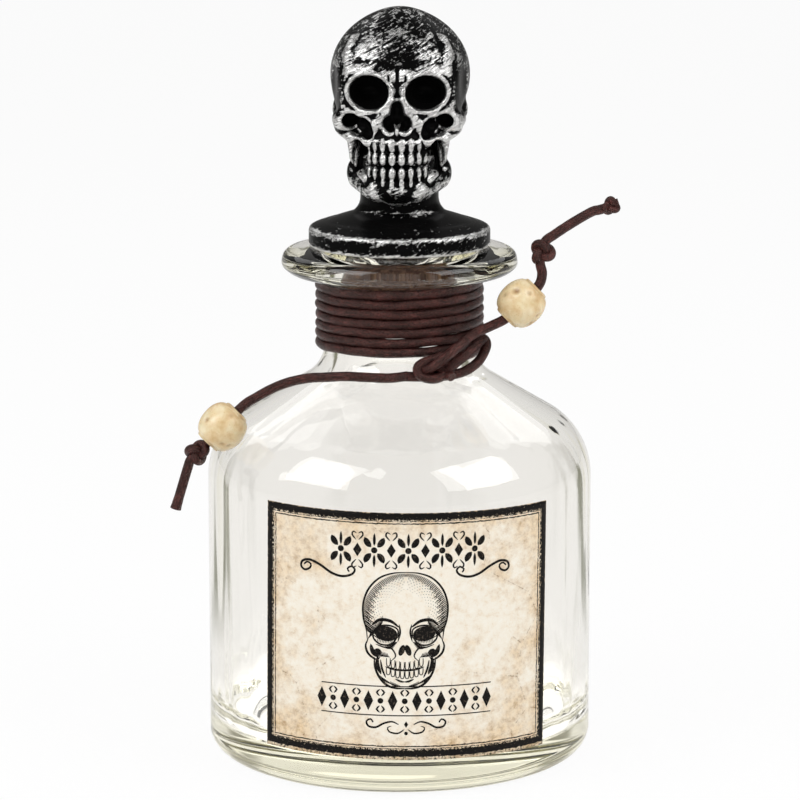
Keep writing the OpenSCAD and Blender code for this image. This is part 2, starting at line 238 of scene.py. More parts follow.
# The turns round the neck: one helix, pressed together, not quite even. Its two
# ends go in under the front knot.
turns = 7.35
turn_pitch = 2.36 * MM
wrap_z = 101.4 * MM
turn_r = 19.6 * MM
steps_per_turn = 80
wound = []
for i in range(round(turns * steps_per_turn) + 1):
    a = i / steps_per_turn
    lean = math.radians(-62 + 360 * a)
    ragged = noise.noise(Vector((2.2 * math.cos(lean), 2.2 * math.sin(lean), 3.1 * a)))
    ragged += 0.5 * noise.noise(Vector((5 * math.cos(lean), 5 * math.sin(lean), 5.3 * a)))
    tuck = 1.2 * MM * max(0, 1 - 6 * (turns - a))
    r = turn_r + 0.25 * MM * ragged - tuck + 0.25 * MM * max(0, 1 - a)
    z = wrap_z + turn_pitch * a + 0.34 * MM * ragged
    wound.append((r * math.cos(lean), r * math.sin(lean), z))
neck_wrap = leather_piece("neck_wrap", [sweep("neck_wrap", wound, cord_r)])
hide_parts("neck_cord")

# The front knot: an eye at the left, a big loop at the right, and two strands that
# cross over them.
knot_strands = [
    [(1, -22.5, 98.4), (5, -21.9, 98.2), (9, -21.3, 98.1), (12.6, -21, 98.5), (16, -20, 99.3),
     (19.2, -17.6, 101.2), (21, -15, 104), (20.8, -14.4, 105.8), (19, -15.2, 106.8), (17, -16.5, 106.6)],
    [(12.6, -20.6, 103.2), (10.4, -21, 103), (8.6, -21.7, 102.5), (6.4, -22.7, 102.1), (4.5, -23.1, 100.9),
     (4.6, -23.5, 99.3), (6.2, -23.7, 98.3), (8.8, -23.6, 98.1), (11.2, -23, 99.2), (13, -22.2, 101.1),
     (15.7, -20.5, 103.1), (18, -18, 104.7), (19.4, -16.3, 105.7), (20.6, -14.8, 106.6)],
    [(5.6, -22.2, 100), (6.8, -23.4, 100.4), (8.6, -24.5, 101.5), (11.2, -24.9, 103.6), (13.8, -23.2, 105.6),
     (16, -20.7, 107)],
    [(4.6, -21.4, 100.8), (8, -21.2, 100.3), (11, -20.8, 100.4), (13.6, -20, 101.6)],
    [(9.8, -21.8, 100.2), (11.4, -23, 99.4), (12.3, -24, 98.9), (12.7, -24.5, 98.6)],
]
knot_meshes = [sweep("strand", smooth_line(np.array(s) * MM, 0.4 * MM), cord_r) for s in knot_strands]
front_knot = leather_piece("cord_front_knot", knot_meshes)
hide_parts("front_knot")

# The two tails. The stiff leather keeps the curves that it was given, and stands
# out from the bottle on both sides.
left_route = [(2, -22.5, 98.5), (-2.5, -22.5, 98), (-8.5, -21.5, 98), (-13, -20.5, 98), (-18, -19, 97.5),
              (-22, -17.5, 97), (-26.5, -17, 96), (-30.5, -17, 94.5), (-34.5, -18, 92.5),
              (-38, -19.5, 90.5), (-43, -20.5, 85.5), (-47.5, -21.5, 81), (-50.5, -22, 78),
              (-51.5, -22, 75.5), (-53, -22, 70.5), (-54.5, -22, 65.5)]
right_route = [(16, -20.5, 107), (18.5, -19, 108.5), (22, -18.5, 110), (26, -18, 112), (29.5, -17.5, 115.5),
               (33.5, -17, 119.5), (34.5, -16.5, 122.5), (34, -16, 125.5), (35, -16, 130),
               (37.5, -15.5, 132), (42, -15.5, 135), (46.5, -15, 137.5), (48.5, -15, 138),
               (53, -15, 139.5)]


def tail(name, route, flare):
    """A tail of the cord along its route, a little flared at its cut end."""
    line = smooth_line(np.array(route) * MM, 0.5 * MM)
    radii = cord_r * (1 + flare * np.exp(-np.arange(len(line))[::-1] / 2.5))
    return leather_piece(name, [sweep(name, line, radii)]), line


left_tail, left_line = tail("cord_left_tail", left_route, 0.18)
right_tail, right_line = tail("cord_right_tail", right_route, 0.1)
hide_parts("left_tail")
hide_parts("right_tail")


def overhand(name, place, along, out, size, thick, roll):
    """An overhand knot drawn tight: three lobes round the cord. along is the cord's way, out the
    side that the knot shows, roll the turn of its lobes."""
    along, out = Vector(along).normalized(), Vector(out).normalized()
    side = along.cross(out).normalized()
    out = side.cross(along)
    frame_of_knot = Matrix((along, side, out)).transposed()
    line = []
    steps, reach = 96, size / 2 - thick
    for i in range(steps):
        t = 2 * math.pi * i / steps
        lobe = Vector((math.sin(t) + 2 * math.sin(2 * t), math.cos(t) - 2 * math.cos(2 * t), 0)) / 3
        lobe.rotate(Matrix.Rotation(roll, 3, "Z"))
        lobe = Vector((lobe.x * reach, lobe.y * reach, -0.95 * MM * math.sin(3 * t)))
        line.append(tuple(Vector(place) * MM + frame_of_knot @ lobe))
    line.append(line[0])
    return leather_piece(name, [sweep(name, np.array(line), thick)])


left_knot = overhand("left_stopper_knot", (-49, -21.75, 79.5), (-3, -0.5, -3), (0.3, -1, 0.1), 6.6 * MM,
                     1.1 * MM, 0.5)
right_knot = overhand("right_stopper_knot", (34.5, -16, 127.75), (1, 0, 4.5), (0.2, -1, 0.1), 6.8 * MM,
                      1.1 * MM, 0.9)
end_knot = overhand("right_end_overhand", (51, -15, 138.833), (4.5, 0, 1.5), (0, -1, 0.3), 4.9 * MM,
                    0.85 * MM, 0.2)
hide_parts("left_stop_knot")
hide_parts("right_stop_knot")
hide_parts("right_end_knot")


# Beads: two barrels turned from bone, cream, each with a rim round its hole, and darker
# brown in the pits, round the hole and by the rim. They turn freely on the cord between the knots.
def bone_finish():
    """Old bone: cream, with amber pores, and darker brown in the pits, round the hole and by the rim."""
    finish, shader = new_finish("carved_bone", {"Subsurface Weight": 0.12,
                                  "Subsurface Radius": (1.0, 0.6, 0.35), "Subsurface Scale": 0.9 * MM})
    place = put(finish, "TexCoord").outputs["Object"]
    darkening = put(finish, "Attribute", attribute_name="darkening").outputs["Fac"]
    cloud = clouds(finish, place, 320.0, 4.0)
    pore = ramp(finish, cells(finish, place, 1500.0), (0.08, 0.0), (0.2, 1.0))
    colour = ramp(finish, cloud, (0.3, (0.62, 0.42, 0.2)), (0.5, (0.77, 0.61, 0.36)),
                  (0.7, (0.84, 0.73, 0.5)))
    colour = blend(finish, ramp(finish, pore, (0, 0.75), (1, 0.0)), colour, (0.55, 0.36, 0.17))
    # darker brown in the pits, round the hole and in a ring by the rim
    colour = blend(finish, ramp(finish, darkening, (0.1, 0.0), (1, 0.95)), colour, (0.30, 0.15, 0.055))
    paint(finish, shader, colour, ramp(finish, cloud, (0.3, 0.36), (0.7, 0.18)),
          times(finish, pore, 0.25, cloud), 0.09 * MM, 0.45)
    return finish


bone = bone_finish()


def on_the_lathe(outline, steps, closed=False):
    """A bmesh of an outline of (radius, height) in millimetres, turned about the upright axis."""
    bm = bmesh.new()
    ring = [bm.verts.new((r * MM, 0, z * MM)) for r, z in outline]
    edges = [bm.edges.new(pair) for pair in zip(ring, ring[1:] + ring[:closed])]
    bmesh.ops.spin(bm, geom=ring + edges, axis=(0, 0, 1), cent=(0, 0, 0), steps=steps, angle=2 * math.pi,
                   use_merge=True)
    bmesh.ops.remove_doubles(bm, verts=bm.verts, dist=0.001 * MM)
    bmesh.ops.recalc_face_normals(bm, faces=bm.faces)
    for face in bm.faces:
        face.smooth = True
    return bm


def as_mesh(name, bm):
    """The finished bmesh as a mesh."""
    mesh = bpy.data.meshes.new(name)
    bm.to_mesh(mesh)
    bm.free()
    return mesh


def bead(name, place, along, pits, body):
    """A barrel bead on the cord. A pit is (right of the middle, above it, across, deep) in
    millimetres, as seen from the front."""
    half, bulge_r, hole_r = 5.4, 5.65, 2.0
    outline = [(hole_r, -half * 0.98), (hole_r + 0.45, -half), (hole_r + 1.0, -half + 0.12),
               (hole_r + 1.25, -half + 0.42)]
    steps = 22
    for i in range(steps + 1):
        t = -1 + 2 * i / steps
        outline.append((hole_r + 1.2 + (bulge_r - hole_r - 1.2) * (1 - abs(t) ** 2.1) ** 0.66, 4.85 * t))
    outline += [(hole_r + 1.25, half - 0.42), (hole_r + 1.0, half - 0.12), (hole_r + 0.45, half),
                (hole_r, half * 0.98)]
    bm = on_the_lathe(outline, 96, closed=True)
    turn = Vector((0, 0, 1)).rotation_difference(Vector(along)).to_matrix().to_4x4()
    centre = Vector(place) * MM
    bmesh.ops.transform(bm, matrix=Matrix.Translation(centre) @ turn, verts=bm.verts)
    darkening = bm.verts.layers.float.new("darkening")
    way = Vector(along).normalized()
    for v in bm.verts:
        out = v.co - centre
        from_hole = (out - way * out.dot(way)).length
        # darker brown within 0.5 mm of the hole, in a ring by the rim and in the pits
        v[darkening] = 0.8 * max(0, 1 - (from_hole - hole_r * MM) / (0.5 * MM))
        v[darkening] += 0.55 * math.exp(-((from_hole - 3.25 * MM) / (0.28 * MM)) ** 2) * (
            0.6 + noise.noise(v.co * 400))
        push = 0.16 * MM * noise.noise(v.co * 260)
        for right, above, across, deep in pits:
            reach = 5.75 ** 2 - right ** 2 - above ** 2
            pit = centre + Vector((right, -math.sqrt(max(reach, 0)), above)) * MM
            near = math.exp(-((v.co - pit).length / (across * MM)) ** 2)
            push -= deep * MM * near
            v[darkening] += 0.9 * near * deep / 0.5
        v.co += out.normalized() * push * min(1, (from_hole / MM - hole_r) / 1.2)
    return piece(name, [as_mesh(name, bm)], bone, body)


left_bone = bead("left_bone_bead", (-43, -20.5, 85.5), (-9.5, -2, -9.5),
                 [(-3.7, 2.6, 0.7, 0.4), (0, -3.2, 0.55, 0.4), (1.6, -3.8, 0.6, 0.35), (-3, -4.4, 1.1, 0.5),
                  (2.4, 3.6, 0.5, 0.3), (-1.5, 0.6, 0.4, 0.12)], "bead_left")
right_bone = bead("right_bone_bead", (29.5, -17.5, 115.5), (7.5, 1, 7.5),
                  [(-1.4, 3.9, 0.95, 0.55), (1.8, 3.2, 0.6, 0.4), (4, -2.6, 0.6, 0.4), (2.3, -4.5, 0.6, 0.4),
                   (-4.2, 2.6, 0.6, 0.35), (0.8, 0.2, 0.4, 0.12)], "bead_right")
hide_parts("left_bead")
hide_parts("right_bead")


# Bottle: pressed clear glass with a thick floor, a round shoulder and a heavy
# flared lip, one wall turned about the upright axis. The mould leaves the inside a
# little uneven, which is what draws the streaks in it.
def glass_finish():
    """Clear soda glass, with a green tint where it is thick."""
    finish, shader = new_finish("clear_glass", {"Base Color": (1, 1, 1, 1), "Roughness": 0.0, "IOR": 1.5,
                                  "Transmission Weight": 1.0})
    tint = put(finish, "VolumeAbsorption", {"Color": (0.86, 0.835, 0.6, 1), "Density": 10.0})
    output = finish.node_tree.nodes["Material Output"]
    finish.node_tree.links.new(tint.outputs["Volume"], output.inputs["Volume"])
    return finish


def arc(cx, cz, r, start, end, steps=14):
    """Points of a rounding in the bottle's outline."""
    angles = [math.radians(start + (end - start) * i / steps) for i in range(steps + 1)]
    return [(cx + r * math.cos(a), cz + r * math.sin(a)) for a in angles]


def shoulder_outline(side_r, shoulder_r, neck_r, neck_round):
    """From the upright side over the shoulder's cone into the upright neck."""
    slope = math.radians(31)
    turn = math.degrees(math.pi / 2 - slope)
    side_top = 69.6
    foot = (side_r - shoulder_r + shoulder_r * math.sin(slope), side_top + shoulder_r * math.cos(slope))
    top_x = neck_r + neck_round * (1 - math.sin(slope))
    top_z = foot[1] + (foot[0] - top_x) * math.tan(slope)
    return (arc(side_r - shoulder_r, side_top, shoulder_r, 0, turn, 24)
            + arc(neck_r + neck_round, top_z + neck_round * math.cos(slope), neck_round, 180 + turn, 180))


body_r, inner_r = 47.5, 44.1
neck_r, bore_r = 18.4, 14.6
mouth_z = 127.2
outside = [(0, 2.2), (13, 2.1), (23.4, 1.87), (31, 1.3), (37, 0.5), (39, 0)]
outside += arc(42, 5.5, 5.5, -90, 0) + [(body_r, z) for z in range(12, 69, 8)]
outside += shoulder_outline(body_r, 18, neck_r, 10.6)
outside += [(neck_r, 112), (neck_r, 119.6), (18.7, 120.15), (19.4, 120.4), (23, 120.4)]
outside += arc(26, 123.4, 3, -90, 0) + arc(26.4, 123.4, 2.6, 0, 80)
mouth = [(21.3, mouth_z)] + arc(15.6, 126.2, 1, 90, 180, 8)
inside = [(0, 9.4), (10, 9.2), (20, 8.6), (31, 7.4)]
inside += arc(35.1, 16, 9, -90, 0) + [(inner_r, z) for z in range(20, 69, 8)]
inside += shoulder_outline(inner_r, 14.6, bore_r, 12.3)
bm = on_the_lathe(outside + mouth + inside[::-1], 240)


def ripple(place, across, up):
    """An unevenness that is so fine across and so fine upright."""
    return noise.noise(Vector((place.x * across, place.y * across, place.z * up)))


for v in bm.verts:
    r = math.hypot(v.co.x, v.co.y)
    inner = v.co.z > 9 * MM and r < 44.3 * MM and v.normal.dot(Vector((v.co.x, v.co.y, 0))) < 0
    if inner and v.co.z < 124 * MM and r > 1 * MM:
        uneven = noise.noise(Vector((v.co.x, v.co.y, v.co.z * 0.45)) * 45)
        v.co -= v.normal * MM * (0.35 * uneven + 0.28 * ripple(v.co, 110, 14) + 0.12 * ripple(v.co, 300, 9))
    elif v.co.z > 120 * MM and r > 23 * MM:
        v.co += v.normal * MM * 0.3 * ripple(v.co, 6, 560)
    elif 2 * MM < v.co.z < 13 * MM and r > 44.5 * MM:
        v.co += v.normal * MM * 0.16 * ripple(v.co, 8, 520)
glass = piece("bottle_glass", [as_mesh("bottle_glass", bm)], glass_finish(), "bottle")
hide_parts("glass_bottle")


# Label: one sheet of aged paper glued round the front of the glass, printed black
# with a worn border, a figure and rows of ornament.
label_z, label_w, label_h = 39.7, 74.0, 60.8
label_turn = math.radians(2.7)
askew = 0.0125
glue_t, paper_t = 0.02, 0.2


def bent(u, v, lift=0.0):
    """A place on the label, u to the right and v up from its middle in millimetres, on the glass and
    its film of glue. It was stuck on a little askew."""
    v = v - askew * u + 0.3
    a = (u + askew * v) / body_r + label_turn
    r = (body_r + glue_t + paper_t + lift) * MM
    return Vector((r * math.sin(a), -r * math.cos(a), (label_z + v) * MM))


def paper_finish():
    """Cream paper with foxing and brown stains, inside a worn black border with a thin inner line."""
    finish, shader = new_finish("aged_paper", {"Specular IOR Level": 0.12})
    sheet = put(finish, "UVMap", uv_map="sheet").outputs["UV"]
    # how far a point is from the nearest edge, in millimetres
    parts = put(finish, "SeparateXYZ", {"Vector": sheet})
    ragged = clouds(finish, sheet, 0.9, 4.0)
    left = maths(finish, "SUBTRACT", label_w / 2, maths(finish, "ABSOLUTE", parts.outputs[0]))
    shift = 0.35
    upward = maths(finish, "SUBTRACT", parts.outputs[1], shift)
    top = maths(finish, "SUBTRACT", label_h / 2 - shift, maths(finish, "ABSOLUTE", upward))
    edge = maths(finish, "MINIMUM", left, top)
    frayed = times(finish, ragged, 0.5, maths(finish, "SUBTRACT", edge, 0.25))
    tenth = times(finish, frayed, 0.1)
    band = ramp(finish, tenth, (0.212, 1.0), (0.22, 0.0))
    line = blend(finish, 1.0, ramp(finish, tenth, (0.246, 0.0), (0.25, 1.0)),
                 ramp(finish, tenth, (0.276, 1.0), (0.281, 0.0)), "MULTIPLY")
    chips = clouds(finish, sheet, 1.7, 9.0, 0.8)
    rubbed = blend(finish, 1.0, ramp(finish, tenth, (0.13, 0.0), (0.19, 0.14), (0.22, 0.06)),
                   ramp(finish, tenth, (0.0, 0.16), (0.02, 0.0)), "ADD")
    worn = ramp(finish, maths(finish, "ADD", chips, rubbed), (0.62, 1.0), (0.65, 0.0))
    # the back of the sheet is bare
    out = put(finish, "SeparateXYZ", {"Vector": put(finish, "TexCoord").outputs["Normal"]}).outputs[1]
    worn = times(finish, worn, maths(finish, "LESS_THAN", out, 0.3))
    printed = blend(finish, 1.0, blend(finish, 1.0, band, line, "ADD"), worn, "MULTIPLY")
    cloud = clouds(finish, sheet, 0.1, 9.0, 0.68)
    mottle = clouds(finish, sheet, 0.55, 8.0, 0.75)
    fibre = clouds(finish, sheet, 3.0, 3.0, stretch=(1, 3, 1))
    paper = ramp(finish, mottle, (0.32, (0.80, 0.67, 0.50)), (0.46, (0.89, 0.82, 0.70)),
                 (0.7, (0.93, 0.89, 0.80)))
    # brown creeps in from the edges, furthest at the corners
    corner = times(finish, maths(finish, "ADD", left, top), 0.22)
    inward = times(finish, maths(finish, "MINIMUM", edge, corner), 0.1)
    creep = times(finish, cloud, 3.0, times(finish, inward, -0.75, -0.76))
    stain = ramp(finish, creep, (0.05, 0.0), (0.5, 0.5), (1.0, 0.9))
    tan = ramp(finish, mottle, (0.36, (0.42, 0.25, 0.11)), (0.56, (0.80, 0.60, 0.36)))
    paper = blend(finish, stain, paper, tan)
    split = cells(finish, sheet, 0.055, "DISTANCE_TO_EDGE")
    split = times(finish, mottle, 0.05, split)
    split = blend(finish, 1.0, ramp(finish, split, (0.0225, 1.0), (0.027, 0.0)),
                  ramp(finish, creep, (0.1, 0.0), (0.3, 0.7)), "MULTIPLY")
    paper = blend(finish, split, paper, (0.24, 0.13, 0.06))
    colour = blend(finish, printed, paper, (0.006, 0.005, 0.0045))
    paint(finish, shader, colour, ramp(finish, printed, (0, 0.75), (1, 0.5)), fibre, 0.03 * MM, 0.35)
    return finish


bm = bmesh.new()
bmesh.ops.create_grid(bm, x_segments=96, y_segments=60, size=0.5)
sheet_uv = bm.loops.layers.uv.new("sheet")
for face in bm.faces:
    face.smooth = True
    for loop in face.loops:
        loop[sheet_uv].uv = (loop.vert.co.x * label_w, loop.vert.co.y * label_h)
for v in bm.verts:
    v.co = bent(v.co.x * label_w, v.co.y * label_h)
for face in bm.faces:
    face.normal_update()
    if face.normal.y > 0:
        face.normal_flip()
label = piece("label_sheet", [as_mesh("label", bm)], paper_finish(), "bottle")
thickness = label.modifiers.new("thickness", "SOLIDIFY")
thickness.thickness = 0.19 * MM
thickness.offset = -1
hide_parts("paper_label")


# Print: the figure and the ornaments lie on the paper as thin ink. They are drawn
# with the strokes of an engraver, each one swelling and tapering.
ink = bmesh.new()
ink_lift = 0.03
figure_u, figure_v = -0.9, 1.6


def stroke(points, width, start=0.25, end=0.25, step=0.5):
    """An inked line on the label through points in millimetres, width wide in its middle."""
    line = smooth_line(np.array([(u, v, 0) for u, v in points]), step)
    n = len(line) - 1
    edge = None
    for i, here in enumerate(line):
        t = i / n
        ahead = line[min(i + 1, n)] - line[max(i - 1, 0)]
        across = np.array([-ahead[1], ahead[0]]) / (np.linalg.norm(ahead) + 1e-9)
        swell = math.sin(math.pi * t) ** 0.6
        half = width / 2 * ((start if t < 0.5 else end) * (1 - swell) + swell)
        sides = [bent(*(here[:2] + across * half * side), ink_lift) for side in (1, -1)]
        if edge is None:
            edge = ink.edges.new([ink.verts.new(place) for place in sides])
        else:
            new = bmesh.ops.extrude_edge_only(ink, edges=[edge])["geom"]
            edge = [e for e in new if isinstance(e, bmesh.types.BMEdge) and all(v in new for v in e.verts)][0]
            for v in edge.verts:
                v.co = sides[0] if (v.co - kept[0]).length < (v.co - kept[1]).length else sides[1]
        kept = sides


def blot(u, v, ru, rv, tilt=0.0, corners=20):
    """A filled round or lozenge of ink."""
    made = bmesh.ops.create_circle(ink, cap_ends=True, cap_tris=True, radius=1, segments=corners)["verts"]
    turn = Matrix.Rotation(tilt, 2)
    for vert in made:
        spot = turn @ Vector((vert.co.x * ru, vert.co.y * rv))
        vert.co = bent(u + spot.x, v + spot.y, ink_lift)


def both(points, width, middle=0.0, **tapers):
    """A stroke and its mirror image beside the middle."""
    stroke(points, width, **tapers)
    stroke([(2 * middle - u, v) for u, v in points], width, **tapers)


# row of leaves and lozenges over the figure
v = 21.2
for place in (-16.2, -8.1, 0, 8.1, 16.2):
    u = place - 0.4
    blot(u, v, 0.75, 0.75)
    for a in range(4):
        c, sn = math.cos(a * math.pi / 2 + math.pi / 4), math.sin(a * math.pi / 2 + math.pi / 4)
        stroke([(u + 1.1 * c, v + 1.1 * sn), (u + 2.4 * c, v + 2.6 * sn), (u + 3.3 * c, v + 4.4 * sn)], 1.5,
               start=0.1, end=0.05)
    for up in (1, -1):
        stroke([(u, v + 1.1 * up), (u, v + 2.5 * up), (u, v + 4.2 * up)], 0.7, start=0.1, end=0.05)
for place in (-12.15, -4.05, 4.05, 12.15):
    u = place - 0.4
    blot(u, v, 1.05, 1.7, corners=4)
    for up in (1, -1):
        both([(u - 0.3, v + 2.4 * up), (u - 1.3, v + 3.6 * up), (u - 1, v + 4.4 * up), (u - 0.2, v + 4 * up)],
             0.42, middle=u)

# flourishes at both sides of the figure
scroll = [(25.2, 16.3), (24.4, 17.0), (23.4, 16.6), (23.6, 15.6), (25, 15), (26, 15.8), (25.6, 17.1),
          (23.6, 17.6), (20.8, 16.6), (18, 15), (15.4, 14.4), (13, 15), (12.2, 16.2), (13, 17), (14, 16.4),
          (13.6, 15.6)]
for side in (1, -1):
    stroke([(figure_u + side * u, v) for u, v in scroll], 0.62, start=0.6, end=0.6)

# small row under the figure
v = -15.8
for i in range(15):
    u = -20.9 + 2.9 * i - 0.2
    if i % 2:
        blot(u, v, 0.7, 0.7)
        for up in (1, -1):
            both([(u - 0.2, v + 1.2 * up), (u - 0.9, v + 2.1 * up), (u - 0.1, v + 2.9 * up)], 0.5, middle=u)
    else:
        blot(u, v, 1.15, 2.5, corners=4)
for v in (-12.2, -19.4):
    stroke([(-21.2, v), (0, v), (20.6, v)], 0.28, start=0.9, end=0.9, step=2)

# flourish at the foot
foot_u = -0.4
both([(-2.2, -21.6), (-3.8, -20.9), (-5.8, -21.4), (-7.6, -22.4), (-9.4, -22.2), (-9.9, -21), (-8.9, -20.4),
      (-8.3, -21.2)], 0.5, middle=foot_u, start=0.4, end=0.7)
both([(-0.8, -22.8), (-2.4, -23.8), (-4.4, -23.4), (-4.8, -22.4), (-3.9, -22)], 0.42, middle=foot_u)
blot(foot_u, -21.6, 0.5, 0.8, corners=4)
blot(foot_u, -23.8, 0.45, 0.45)


def figure(points):
    """The figure's own places, its middle at nought."""
    return [(u + figure_u, v + figure_v) for u, v in points]


def half_figure(points, width, **tapers):
    """The same stroke on both halves of the figure."""
    both(figure(points), width, middle=figure_u, **tapers)


def hatching(count, width, points, drift):
    """Strokes side by side on both halves, each point of the next one a little further."""
    for i in range(count):
        half_figure([(u + du * i, v + dv * i) for (u, v), (du, dv) in zip(points, drift)], width)


# the skull in the middle: outline, then the hollows, the teeth and the hatching
half_figure([(0.4, 14.4), (-3.2, 14.1), (-6.4, 12.8), (-8.9, 10), (-10.1, 6.4), (-10, 2.8), (-9.3, 0.2),
             (-9, -2.4)], 0.5)
half_figure([(-8.8, -2.2), (-9.4, -3.8), (-8.9, -5.6), (-7.6, -6.8), (-6.5, -7.2), (-5.9, -6.4)], 0.55)
half_figure([(-7.3, -6.6), (-7.1, -9), (-6.1, -11.4), (-4.3, -13.4), (-2, -14.2), (0.2, -14.2)], 0.6)
half_figure([(-8, 1.2), (-6.2, 2.6), (-3.6, 2.4), (-1.5, 0.9)], 0.8)
half_figure([(-1.5, 1.6), (-1.2, -0.4), (-1.7, -2.6)], 0.45)
half_figure([(-7, -3.4), (-5, -4.1), (-3.2, -4.4), (-2.2, -6.2), (-3.2, -7.4)], 0.4)
half_figure([(-5.8, -7.2), (-5.4, -9.4), (-4.5, -11.6)], 0.5)
half_figure([(-8.2, -3.4), (-7.6, -5.4), (-6.2, -6.6)], 1.1, start=0.1, end=0.1)
half_figure([(-6.5, -6.4), (-6.5, -8.6), (-5.6, -10.8)], 1.0, start=0.2, end=0.1)
half_figure([(-2.2, -11.9), (-0.9, -12.5), (0.1, -12.6)], 0.5)
for side in (1, -1):
    blot(figure_u + side * 4.55, figure_v - 0.75, 2.72, 1.85, tilt=side * 0.16)
    blot(figure_u + side * 0.75, figure_v - 4.8, 0.7, 1.4, tilt=side * 0.35)
    blot(figure_u + side * 6.4, figure_v - 5.2, 0.9, 0.7, tilt=side * 0.6)
for i in range(8):
    x = (i - 3.5) * 1.12
    drop = 0.06 * x * x
    for low, high in ((-9.6, -7.7), (-11.7, -9.9)):
        half_tooth = [(0.42, high + drop), (0.46, (low + high) / 2 + drop), (0.3, low + drop)]
        around = [(x - u, v) for u, v in half_tooth] + [(x + u, v) for u, v in half_tooth[::-1]]
        stroke(figure(around), 0.24, start=0.7, end=0.7, step=0.4)
half_figure([(0.1, -9.75), (-2.4, -9.55), (-4.6, -8.9)], 0.5, start=0.9)
rays = 48
for i in range(rays):
    t = i / (rays - 1)
    a = math.radians(206 - 114 * t)
    reach = (2.9 - 2.2 * t) * (1, 0.5, 0.8)[i % 3]
    u, v = 10.1 * math.cos(a), 4.2 + 9.9 * math.sin(a)
    half_figure([(u, v), (u * (1 - 0.05 * reach) + 0.2, v - 0.3 - 0.25 * reach),
                 (u * (1 - 0.1 * reach) + 0.5, v - 0.6 - 0.55 * reach)], 0.24, start=0.95, end=0.1)
hatching(12, 0.2, [(-9, -2.4), (-8.3, -0.9), (-8.5, 0.8)], [(0.24, 0.24), (0.26, 0.28), (0.28, 0.26)])
hatching(12, 0.22, [(-8, -4.4), (-7.7, -5.5), (-7, -6.5)], [(0.34, -0.1), (0.34, -0.08), (0.32, 0)])
hatching(12, 0.22, [(-6.9, -10.4), (-6.3, -11.3), (-5.6, -12.5)], [(0.34, -0.24), (0.34, -0.2), (0.34, -0.1)])
hatching(12, 0.15, [(-1.7, -2.6), (-2.4, -2.9), (-3.4, -2.9)], [(-0.1, -0.16), (-0.16, -0.14), (-0.16, -0.1)])
hatching(8, 0.18, [(-3.4, -12.4), (-3.2, -13), (-2.8, -13.7)], [(0.3, -0.14), (0.3, -0.1), (0.3, 0)])
half_figure([(-1.7, -1.4), (-1.8, 0.3), (-3.4, 1.2), (-5.6, 1.2), (-7.4, -0.1), (-7.5, -2), (-5.8, -3.4),
             (-3.4, -3.3), (-1.7, -1.4)], 0.42, start=0.8, end=0.8)
for i in range(13):
    sag = 0.05 * min(i, 12 - i)
    half_figure([(-2.2 - 0.39 * i, -2), (-2.3 - 0.39 * i, -2.5), (-2.6 - 0.36 * i, -2.9 - sag)],
                0.16, end=0.1)
dots = 130
for i in range(dots):
    a, far = math.radians(204 - 112 * (i * 0.618 % 1)), 9.1 - 3.6 * (i / dots) ** 1.4
    dot_r = 0.17 - 0.0008 * i
    for side in (1, -1):
        blot(figure_u + side * far * math.cos(a), figure_v + 4 + far * math.sin(a), dot_r, dot_r, corners=6)


def ink_finish():
    """Printer's ink: black, worn to a warm grey in places."""
    finish, shader = new_finish("printer_ink", {"Specular IOR Level": 0.12})
    wear = clouds(finish, put(finish, "TexCoord").outputs["Object"], 1900.0, 6.0)
    paint(finish, shader, ramp(finish, wear, (0.55, (0.006, 0.005, 0.0045)), (0.72, (0.1, 0.08, 0.06))),
          ramp(finish, wear, (0.3, 0.5), (0.7, 0.7)))
    return finish


bmesh.ops.recalc_face_normals(ink, faces=ink.faces)
for ink_face in ink.faces:
    if ink_face.normal.y > 0:
        ink_face.normal_flip()
piece("label_print", [as_mesh("label_print", ink)], ink_finish(), "bottle")


# Cork: a tapered plug of agglomerated cork, glued under the disc, which closes the
# neck. Its ends are broken by a small chamfer.
def cork_finish():
    """Pressed cork: brown granules with dark pores between them."""
    finish, shader = new_finish("natural_cork", {"Specular IOR Level": 0.25})
    where = put(finish, "TexCoord").outputs["Object"]
    granules = cells(finish, where, 1100.0, output="Color")
    tone = put(finish, "SeparateColor", {"Color": granules}).outputs[0]
    joints = cells(finish, where, 1100.0, "DISTANCE_TO_EDGE")
    dust = clouds(finish, where, 2400.0, 4.0)
    colour = ramp(finish, times(finish, dust, 0.5, times(finish, tone, 0.6)),
                  (0.15, (0.07, 0.03, 0.02)), (0.5, (0.16, 0.075, 0.047)), (0.85, (0.28, 0.15, 0.09)))
    colour = blend(finish, ramp(finish, joints, (0.0, 0.8), (0.09, 0.0)), colour, (0.06, 0.025, 0.014))
    paint(finish, shader, colour, ramp(finish, dust, (0.3, 0.9), (0.7, 0.75)),
          times(finish, dust, 0.4, joints), 0.3 * MM, 0.7)
    return finish


cork_outline = [(0, 107.2), (13.1, 107.2), (13.6, 107.35), (13.82, 107.8), (14.53, 127.0), (14.4, mouth_z),
                (0, mouth_z)]
bm = on_the_lathe(cork_outline, 72)
for cork_face in bm.faces:
    cork_face.smooth = abs(cork_face.normal.z) < 0.7
cork = piece("cork_stopper", [as_mesh("cork_stopper", bm)], cork_finish(), "stopper")
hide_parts("cork_plug")


# Stopper: skull, neck and disc cast in one piece of resin, painted black and then
# brushed with silver, which takes only on what stands proud. It is worked like
# clay: lumps are joined, hollows are pressed in, and the teeth are set on last.
chin_z = 140.0
skull_turn = math.radians(-2)
disc_r = 22.3


def both_sides(lumps):
    """Each lump and its twin on the other side of the face."""
    return [(sign * x, y, z, *radii) for x, y, z, *radii in lumps for sign in (1, -1)]


def roll_of_clay(*beads):
    """Balls in a row through the given places: (x, y, z, r)."""
    row = []
    for a, b in zip(beads, beads[1:]):
        a, b = np.array(a, float), np.array(b, float)
        n = max(1, round(np.linalg.norm((b - a)[:3]) / (0.7 * min(a[3], b[3]))))
        row += [tuple(a + (b - a) * i / n) for i in range(n + 1)]
    return [(x, y, z, r, r, r) for x, y, z, r in row]


